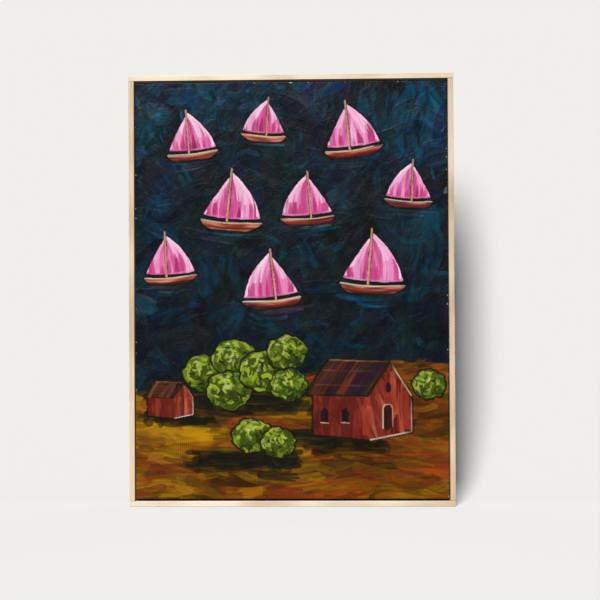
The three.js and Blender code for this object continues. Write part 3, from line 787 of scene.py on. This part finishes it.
def paint_cottage(cottage):
    """Clay walls, dark on the long side and lit on the gable, an umber roof, and pale lines on lit edges."""
    scale = cottage[2]
    walls, roof = (depth_of(cottage_points(cottage, shape)) for shape in (COTTAGE_WALLS, COTTAGE_ROOF))
    stray = loose(1.0)

    def draw(points, width, tint, other, paint, inside=None, streak=0.5):
        stroke(cottage_points(cottage, points), width * scale + 0.25, tint, other, paint, inside, streak)

    fill(np.maximum(walls, roof) + 3.0 + stray * 2.2, GREEN_BLACK, 0.04, 1.6, 0.92)
    inside = fill(walls + stray, BRICK, 0.22, 0.6)
    for place in rng.permutation(np.linspace(-2, 150, 44)):
        gable = place > 84
        top, low = (108 - 1.45 * abs(place - 116), 0.1 * (place - 84)) if gable else (68, 0.1 * (84 - place))
        tint = between(BRICK, CLAY, ease(20, 120, place) * some(0.7, 1.1))
        if rng.random() < (0.45 if gable else 0.15):
            tint = pick(EMBER, LIFT, EMBER, CLAY) if gable else pick(CLAY, (122, 42, 30))
        a, b = sorted(rng.uniform(low, top, 2))
        a, b = (low, top) if rng.random() < 0.45 else (a, max(b, a + 18))
        lean = sway(5)
        line = [(place - lean, a), (place + sway(2), (a + b) / 2), (place + lean, b)]
        width, tint, other = some(6, 15), vary(tint, 0.07), pick(BRICK, CLAY, EMBER if gable else BRICK)
        draw(line, width, tint, other, (some(0.45, 0.8), 0.08, some(0.15, 0.55)), inside, 0.9)
    inside = fill(roof + stray, UMBER, 0.24, 0.6)
    for share in rng.permutation(np.linspace(0, 1, 16)):
        low, high = np.array((-4 + 85 * share, 65)), np.array((28 + 85 * share, 116 - 3 * share))
        tint = pick((58, 34, 30), (88, 50, 36), (36, 26, 30), (110, 62, 42), UMBER)
        line = [low, between(low, high, 0.5) + rng.normal(size=2), high]
        width, tint, other = some(7, 13), vary(tint, 0.1), pick(RUST, INK, PLUM)
        draw(line, width, tint, other, (0.75, 0.1, some(0.15, 0.55)), inside, 0.9)
    for share in (0.3, 0.72):
        line = [between((-4, 65), (27, 116), share), between((81, 64), (112, 112), share)]
        draw(line, 2.4, (124, 78, 56), RUST, (0.5, 0.08, 0.6), inside)
    dark, opening, sill = (30, 16, 16), (0.95, 0.04, 0.1), (0.75, 0.12, 0.4)
    if scale > 0.8:
        draw([(112, 18), (112, 45)], 13, dark, (74, 30, 24), opening)
        draw([(105, 16), (105.5, 46), (112, 51), (118.5, 47), (119, 19)], 1.8, CREAM, LIFT, sill)
        for place in (20, 50):
            draw([(place, 26), (place, 41)], 11, dark, NAVY, opening)
            draw([(place - 6, 25), (place + 6, 24)], 1.8, CREAM, EMBER, sill)
        draw([(113, 71), (113, 79)], 8, dark, NAVY, (0.9, 0.04, 0.1))
    rim = [(86, -0.5), (146.5, 11.5), (146.5, 64), (117, 111)]
    draw(rim[:2], 1.9, WHITE, LIFT, (0.85, 0.14, 0.35))
    draw(rim[1:3], 1.6, WHITE, TAN, (0.75, 0.14, 0.45))
    draw(rim[2:], 2.2, TAN, CREAM, (0.75, 0.12, 0.45))
    draw([(27, 116.5), (113, 113)], 2.0, TAN, RUST, sill)


def shadow(x0, x1, h, tall, count):
    for _ in range(count):
        a, b = rng.uniform(x0, x1, 2)
        level = h + rng.normal() * tall / 2.4
        line = [(a, level), ((a + b) / 2, level + sway(2)), (b, level + sway(3))]
        width, tint, other = some(6, 14), vary(GREEN_BLACK, 0.1), pick(UMBER, INK, BRONZE)
        stroke(line, width, tint, other, (0.62, 0.03, some(0.1, 0.5)), streak=0.9)


def bare_edges():
    """A few nicks at the canvas's edges and corners, where the brush missed the white ground."""
    for _ in range(22):
        x, h = pick(-1, 1) * (CANVAS_WIDE / 2 - 0.6), some(0, CANVAS_TALL)
        if rng.random() < 0.3:
            x, h = some(-1, 1) ** 3 * CANVAS_WIDE / 2, CANVAS_TALL - 0.6
        size = some(0.5, 1.1)
        nick = 0.55 * ease(1.4, 0.6, np.hypot(GRID_X - x, (GRID_H - h) / some(0.7, 2.2)) / size)[..., None]
        colour[:] = between(colour, WHITE, nick)


# ---- meshes


def make_piece(name, form, material, *stands_for, slot):
    """A form as a piece of the object: it rides on the root and stands for these CAD nodes."""
    points, faces = form
    mesh = bpy.data.meshes.new(name)
    mesh.from_pydata([tuple(p) for p in points], [], faces)
    mesh.materials.append(material)
    mesh.shade_smooth()
    piece = add_object(name, mesh)
    finish_piece(piece, slot, *stands_for)
    return piece


def finish_piece(piece, slot, *stands_for):
    piece.visible_diffuse = False
    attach(piece, "root")
    if stands_for:
        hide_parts(*stands_for)


def loft(rings, flip=False):
    """Points and faces of a closed form through rings of equally many points, with a cap at each end."""
    count, last = len(rings[0]), len(rings) - 1
    faces = [tuple(range(count - 1, -1, -1)), tuple(range(count * last, count * last + count))]
    for start in range(0, count * last, count):
        for a, b in ((i, (i + 1) % count) for i in range(count)):
            faces.append((start + a, start + b, start + count + b, start + count + a))
    return np.vstack(rings), [face[::-1] for face in faces] if flip else faces


def joined(forms):
    """The points and faces of several forms as one."""
    all_points, all_faces = [], []
    for points, faces in forms:
        all_faces += [tuple(len(all_points) + i for i in face) for face in faces]
        all_points.extend(points)
    return all_points, all_faces


def strip(node, axis, radius, step=8 * MM, wander=0.06 * MM):
    """A straight strip of timber in a node's box, with rounded edges and planed a little unevenly."""
    low, high = (np.array(corner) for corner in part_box(node))
    across = [i for i in range(3) if i != axis]
    half, middle = (high - low)[across] / 2, (high + low)[across] / 2
    turns = np.radians([corner + turn for corner in (0, 90, 180, 270) for turn in (9, 33, 57, 81)])
    arc = np.column_stack([np.cos(turns), np.sin(turns)])
    stations = [(s, 0) for s in np.arange(low[axis] + radius, high[axis] - radius, step)]
    stations = [(low[axis], radius), (low[axis] + 0.35 * radius, 0.3 * radius), *stations]
    stations += [(high[axis] - radius, 0), (high[axis] - 0.35 * radius, 0.3 * radius), (high[axis], radius)]
    rings = []
    for at, inset in stations:
        off = np.clip(rng.normal(size=2) * wander * 0.5, -wander, wander)
        ring = np.full((len(turns), 3), at)
        ring[:, across] = middle + np.sign(arc) * (half - inset - wander - radius) + arc * radius + off
        rings.append(ring)
    return loft(rings)


# Each rail: a seed, how its tone leans along it, and its pale and deep tones. These are partly the timber's
# own
# tone and partly painted light and shade: the top and bottom rails are painted lighter than the side rails.
RAIL_TONES_AND_SHADE = {
    "top": (3, -0.7, linear(242, 225, 200), linear(208, 182, 149)),
    "bottom": (14, -0.6, linear(245, 229, 208), linear(214, 190, 162)),
    "left": (5, -0.5, linear(230, 205, 174), linear(190, 160, 121)),
    "right": (11, 0.1, linear(228, 204, 174), linear(192, 165, 130)),
}
for prefix, slot, radius in (("frame_rail_", "rail", 0.7 * MM), ("spacer_", "spacer", 0.4 * MM)):
    for side, (seed, lean, pale, deep) in RAIL_TONES_AND_SHADE.items():
        node, axis = prefix + side, 2 if side in ("left", "right") else 0
        form = strip(node, axis, radius)
        if slot == "rail":
            material = wood(node + "_wood_and_shade", pale, deep, axis, seed, lean=lean)
        else:
            # The spacers are stained near black: partly their stain and partly painted shade, so that the
            # float gap reads dark.
            material = wood(node + "_stain_and_shade", linear(34, 30, 27), linear(16, 14, 13), axis, seed, end=0.8)
        piece = make_piece(node + "_timber", form, material, node, slot=slot)
        piece.modifiers.new("weighted", "WEIGHTED_NORMAL").keep_sharp = True


# ---- canvas
CLOTH = 0.75 * MM
FLAP = 22 * MM
FOLD_RADIUS = 1.2 * MM


def canvas_path(inset):
    """(inset, y) from the flat front round a side to the flap's edge, this far inside the outer face."""
    front, back, radius = CANVAS_LOW.y, CANVAS_HIGH.y, FOLD_RADIUS
    fold, turns = radius - inset, np.radians([15, 45, 75])
    path = [(FLAP, front + inset), (radius * 1.6, front + inset)]
    path += [(radius - fold * math.sin(turn), front + radius - fold * math.cos(turn)) for turn in turns]
    path += [(inset, front + (back - front) * share) for share in np.linspace(0.05, 0.95, 6)]
    path += [(radius - fold * math.cos(turn), back - radius + fold * math.sin(turn)) for turn in turns]
    return path + [(radius + (FLAP - radius) * share, back - inset) for share in (0.1, 0.4, 0.7, 1.0)]


def canvas_ring(inset, y, edge):
    """A ring round the canvas at an inset. Near the flap's raw edge it wanders and lifts off the bars."""
    sides = []
    for side, (axis, sign) in enumerate(((0, 1), (2, 1), (0, -1), (2, -1))):
        count = 86 if axis else 64
        share = np.arange(count) / count * 2 - 1
        wave = 0.5 * np.sin(share * 9 + side * 2) + 0.3 * np.sin(share * 23 + side) + 0.2 * np.sin(share * 61)
        ring = np.zeros((count, 3))
        ring[:, axis] = share * sign * (CANVAS_HALF[axis] - inset)
        out = CANVAS_HALF[2 - axis] - inset - edge * wave * 1.1 * MM
        ring[:, 2 - axis] = (sign if axis else -sign) * out
        ring[:, 1] = y - edge * 0.25 * MM * (0.5 + 0.5 * np.sin(share * 31 + side * 3))
        sides.append(ring + (0, 0, CANVAS_MIDDLE.z))
    return np.vstack(sides)


def make_canvas():
    """The cloth's outer face, then its inner one, as one closed form. Four rings of each make its flap."""
    rings = []
    for inset in (0.0, CLOTH):
        path = canvas_path(inset)
        face = [canvas_ring(at, y, max(0, i - len(path) + 4) / 3) for i, (at, y) in enumerate(path)]
        rings += face[::-1] if inset else face
    return make_piece("canvas_cloth", loft(rings, flip=True), raw_canvas(), "canvas", slot="canvas")


canvas = make_canvas()


# ---- the paint as a skin on the canvas
# In mm: the least and the most thickness, and the relief at which it nears the most.
GROUND_COAT, SKIN_TOP, RELIEF_FULL = 0.5, 1.24, 0.55


def make_skin():
    """The painted cells as one thin closed skin: the front follows the relief, the back lies on the cloth."""
    height = GROUND_COAT + np.tanh(relief / RELIEF_FULL) * (SKIN_TOP - GROUND_COAT)
    cells_at = [GRID_X * MM, CANVAS_LOW.y - height * MM, CANVAS_LOW.z + GRID_H * MM]
    front = np.stack(cells_at, axis=-1).reshape(-1, 3)
    index = np.arange(len(front)).reshape(GRID_X.shape)
    border = np.concatenate([index[0, :-1], index[:-1, -1], index[-1, :0:-1], index[:0:-1, 0]])
    middle = (0, 0, CANVAS_LOW.z + CANVAS_TALL / 2 * MM)
    outwards = (CANVAS_WIDE / (CANVAS_WIDE - CELL_X), 1, CANVAS_TALL / (CANVAS_TALL - CELL_H))
    rim = (front[border] - middle) * outwards + middle
    lip = front[border] * 0.1 + rim * 0.9
    rim[:, 1] = CANVAS_LOW.y
    points = np.vstack([front, lip, rim])
    rings = [border, *(len(front) + np.arange(2 * len(border)).reshape(2, -1))]
    bands = [np.stack([a, np.roll(a, -1), np.roll(b, -1), b], axis=-1) for a, b in zip(rings, rings[1:])]
    cells = np.stack([index[:-1, :-1], index[1:, :-1], index[1:, 1:], index[:-1, 1:]], axis=-1).reshape(-1, 4)
    quads = np.concatenate([cells, *bands])
    corners = np.concatenate([quads.ravel(), rings[-1]])
    starts = np.arange(len(quads) + 1) * 4

    mesh = bpy.data.meshes.new("paint_skin")
    mesh.vertices.add(len(points))
    mesh.vertices.foreach_set("co", points.ravel().astype(np.float32))
    mesh.loops.add(len(corners))
    mesh.loops.foreach_set("vertex_index", corners.astype(np.int32))
    mesh.polygons.add(len(starts))
    mesh.polygons.foreach_set("loop_start", starts.astype(np.int32))
    mesh.update(calc_edges=True)
    mesh.validate()

    tints = np.ones((len(points), 4))
    cell_tints = to_linear(colour).reshape(-1, 3)
    tints[:, :3] = np.vstack([cell_tints, cell_tints[border], cell_tints[border]])
    layer = mesh.color_attributes.new(PAINT_LAYER, "FLOAT_COLOR", "POINT")
    layer.data.foreach_set("color", tints.ravel().astype(np.float32))

    up = (points[:, 2] - CANVAS_LOW.z) / MM / CANVAS_TALL
    flat = np.column_stack([points[:, 0] / MM / CANVAS_WIDE + 0.5, up])
    uv = (flat * (0.97, 1.0))[corners]
    uv[-len(border):] = uv[-len(border):] * (0.015, 1.0) + (0.98, 0.0)
    mesh.uv_layers.new(name="OFBake").data.foreach_set("uv", uv.ravel().astype(np.float32))
    mesh.materials.append(dry_paint())
    mesh.polygons.foreach_set("use_smooth", np.arange(len(starts)) < len(cells) + len(border))
    skin = add_object("paint_skin", mesh)
    finish_piece(skin, "paint_dark_teal", *(name for name in nodes if name.startswith("paint_")))


paint_sea()
paint_shore()
for boat in BOATS:
    paint_boat(boat)
shadow(-170, 40, 138, 18, 30)
for clump in CLUMPS[:6]:
    paint_clump(*clump)
shadow(-60, 150, 84, 16, 30)
paint_cottage(COTTAGES[0])
shadow(-226, -110, 116, 9, 18)
paint_cottage(COTTAGES[1])
paint_clump(*CLUMPS[8])
shadow(-160, 16, 54, 20, 34)
paint_clump(*CLUMPS[6])
paint_clump(*CLUMPS[7])
bare_edges()
make_skin()

# ---- stretcher bars, keys and hardware
WELD = 0.002 * MM


def dress(name, material, bevel):
    """Give a CAD node its material and worn edges. Its facets are joined so that the bevel finds them."""
    node = nodes[name]
    node.visible_diffuse = False
    node.data.materials.clear()
    node.data.materials.append(material)
    node.modifiers.new("joined", "WELD").merge_threshold = WELD
    rounding = node.modifiers.new("worn_edges", "BEVEL")
    rounding.width = bevel
    rounding.segments = 2
    rounding.limit_method = "ANGLE"
    node.modifiers.new("weighted", "WEIGHTED_NORMAL")


for name in nodes:
    first = name.split("_")[0]
    axis = 0 if name.endswith(("top", "bottom", "along")) else 2
    if first == "stretcher":
        pine = wood(name + "_pine", linear(232, 208, 164), linear(196, 158, 104), axis, len(name) + 7)
        dress(name, pine, 0.5 * MM)
    elif first == "key":
        beech = wood(name + "_beech", linear(214, 182, 138), linear(176, 136, 92), axis, len(name))
        dress(name, beech, 0.3 * MM)
    elif name == "hanger":
        dress(name, metal("brassed_steel", linear(150, 122, 72), 0.52), 0.08 * MM)
    elif first == "hanger":
        dress(name, metal(name + "_steel", linear(150, 151, 152), 0.45), 0.1 * MM)
    elif first == "bumper":
        dress(name, rubber(), 0.3 * MM)


# ---- staples and filled brads
STAPLE_CROWN, STAPLE_WIRE, STAPLE_PROUD = 11 * MM, 0.9 * MM, 0.55 * MM
STAPLE_PITCH, STAPLE_FROM_EDGE, STAPLE_FROM_CORNER = 46 * MM, 12 * MM, 34 * MM
BRAD_RADIUS = 1.3 * MM
BRAD_FROM_FRONT = 20 * MM


def make_staples():
    """Crowns of the staples through the flaps, each a bowed round-edged wire."""
    round_wire = np.radians(np.arange(0, 360, 60))
    forms = []
    for axis in (0, 2):
        reach, out = CANVAS_HALF[axis] - STAPLE_FROM_CORNER, CANVAS_HALF[2 - axis] - STAPLE_FROM_EDGE
        places = np.linspace(-reach, reach, int(2 * reach / STAPLE_PITCH) + 1)
        for sign, at in ((sign, at) for sign in (-1, 1) for at in places):
            place = np.array([at + sway(3) * MM, sign * (out + sway(0.8) * MM)])
            turn = sway(0.12) + rng.choice([0, 0.5])
            along, across = np.array([(math.cos(turn), math.sin(turn)), (-math.sin(turn), math.cos(turn))])
            rings = []
            for share in np.linspace(-1, 1, 9):
                bow = STAPLE_PROUD * (1 - share**6) - (0.6 if abs(share) == 1 else 0.1) * MM
                thick = np.outer(np.cos(round_wire), across * STAPLE_WIRE / 2)
                flat = place + along * share * STAPLE_CROWN / 2 + thick
                ring = np.zeros((len(flat), 3))
                ring[:, [axis, 2 - axis]] = flat
                ring[:, 1] = CANVAS_HIGH.y + bow + np.sin(round_wire) * STAPLE_WIRE * 0.3
                rings.append(ring + (0, 0, CANVAS_MIDDLE.z))
            forms.append(loft(rings, flip=axis == 0))
    make_piece("staples", joined(forms), metal("staple_wire", linear(190, 190, 188), 0.28), slot="nail")


def make_brads():
    """Filled nail holes on the rails' outer faces: short dished plugs of wood filler."""
    turns = np.radians(np.arange(0, 360, 30))
    forms = []
    sides = ("top", 2, 1, 3), ("bottom", 2, -1, 3), ("left", 0, -1, 4), ("right", 0, 1, 4)
    for side, axis, sign, count in sides:
        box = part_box("frame_rail_" + side)
        low, high, outside = box[0][2 - axis], box[1][2 - axis], box[sign > 0][axis]
        for share in (np.arange(count) + 0.5) / count:
            deep = CANVAS_LOW.y + BRAD_FROM_FRONT + sway(0.6) * MM
            along = low + (high - low) * share + sway(4) * MM
            rings = []
            for radius, rise in ((1.0, -0.3), (1.0, -0.02), (0.86, 0.03), (0.4, -0.01)):
                ring = np.full((len(turns), 3), outside + sign * rise * MM)
                ring[:, 1] = deep + np.cos(turns) * BRAD_RADIUS * radius
                ring[:, 2 - axis] = along + np.sin(turns) * BRAD_RADIUS * radius
                rings.append(ring)
            forms.append(loft(rings, flip=(sign > 0) != (axis == 0)))
    s = Shader("wood_filler", roughness=0.8, specular=0.2)
    tones = (0.35, linear(196, 160, 116)), (0.7, linear(222, 192, 150))
    s.feed("Base Color", s.ramp(s.noise(s.place(), 1800), *tones))
    s.bump(s.noise(s.place(), 3000), 0.2, 0.05 * MM)
    make_piece("brad_fillings", joined(forms), s.material, slot="rail")


make_staples()
make_brads()
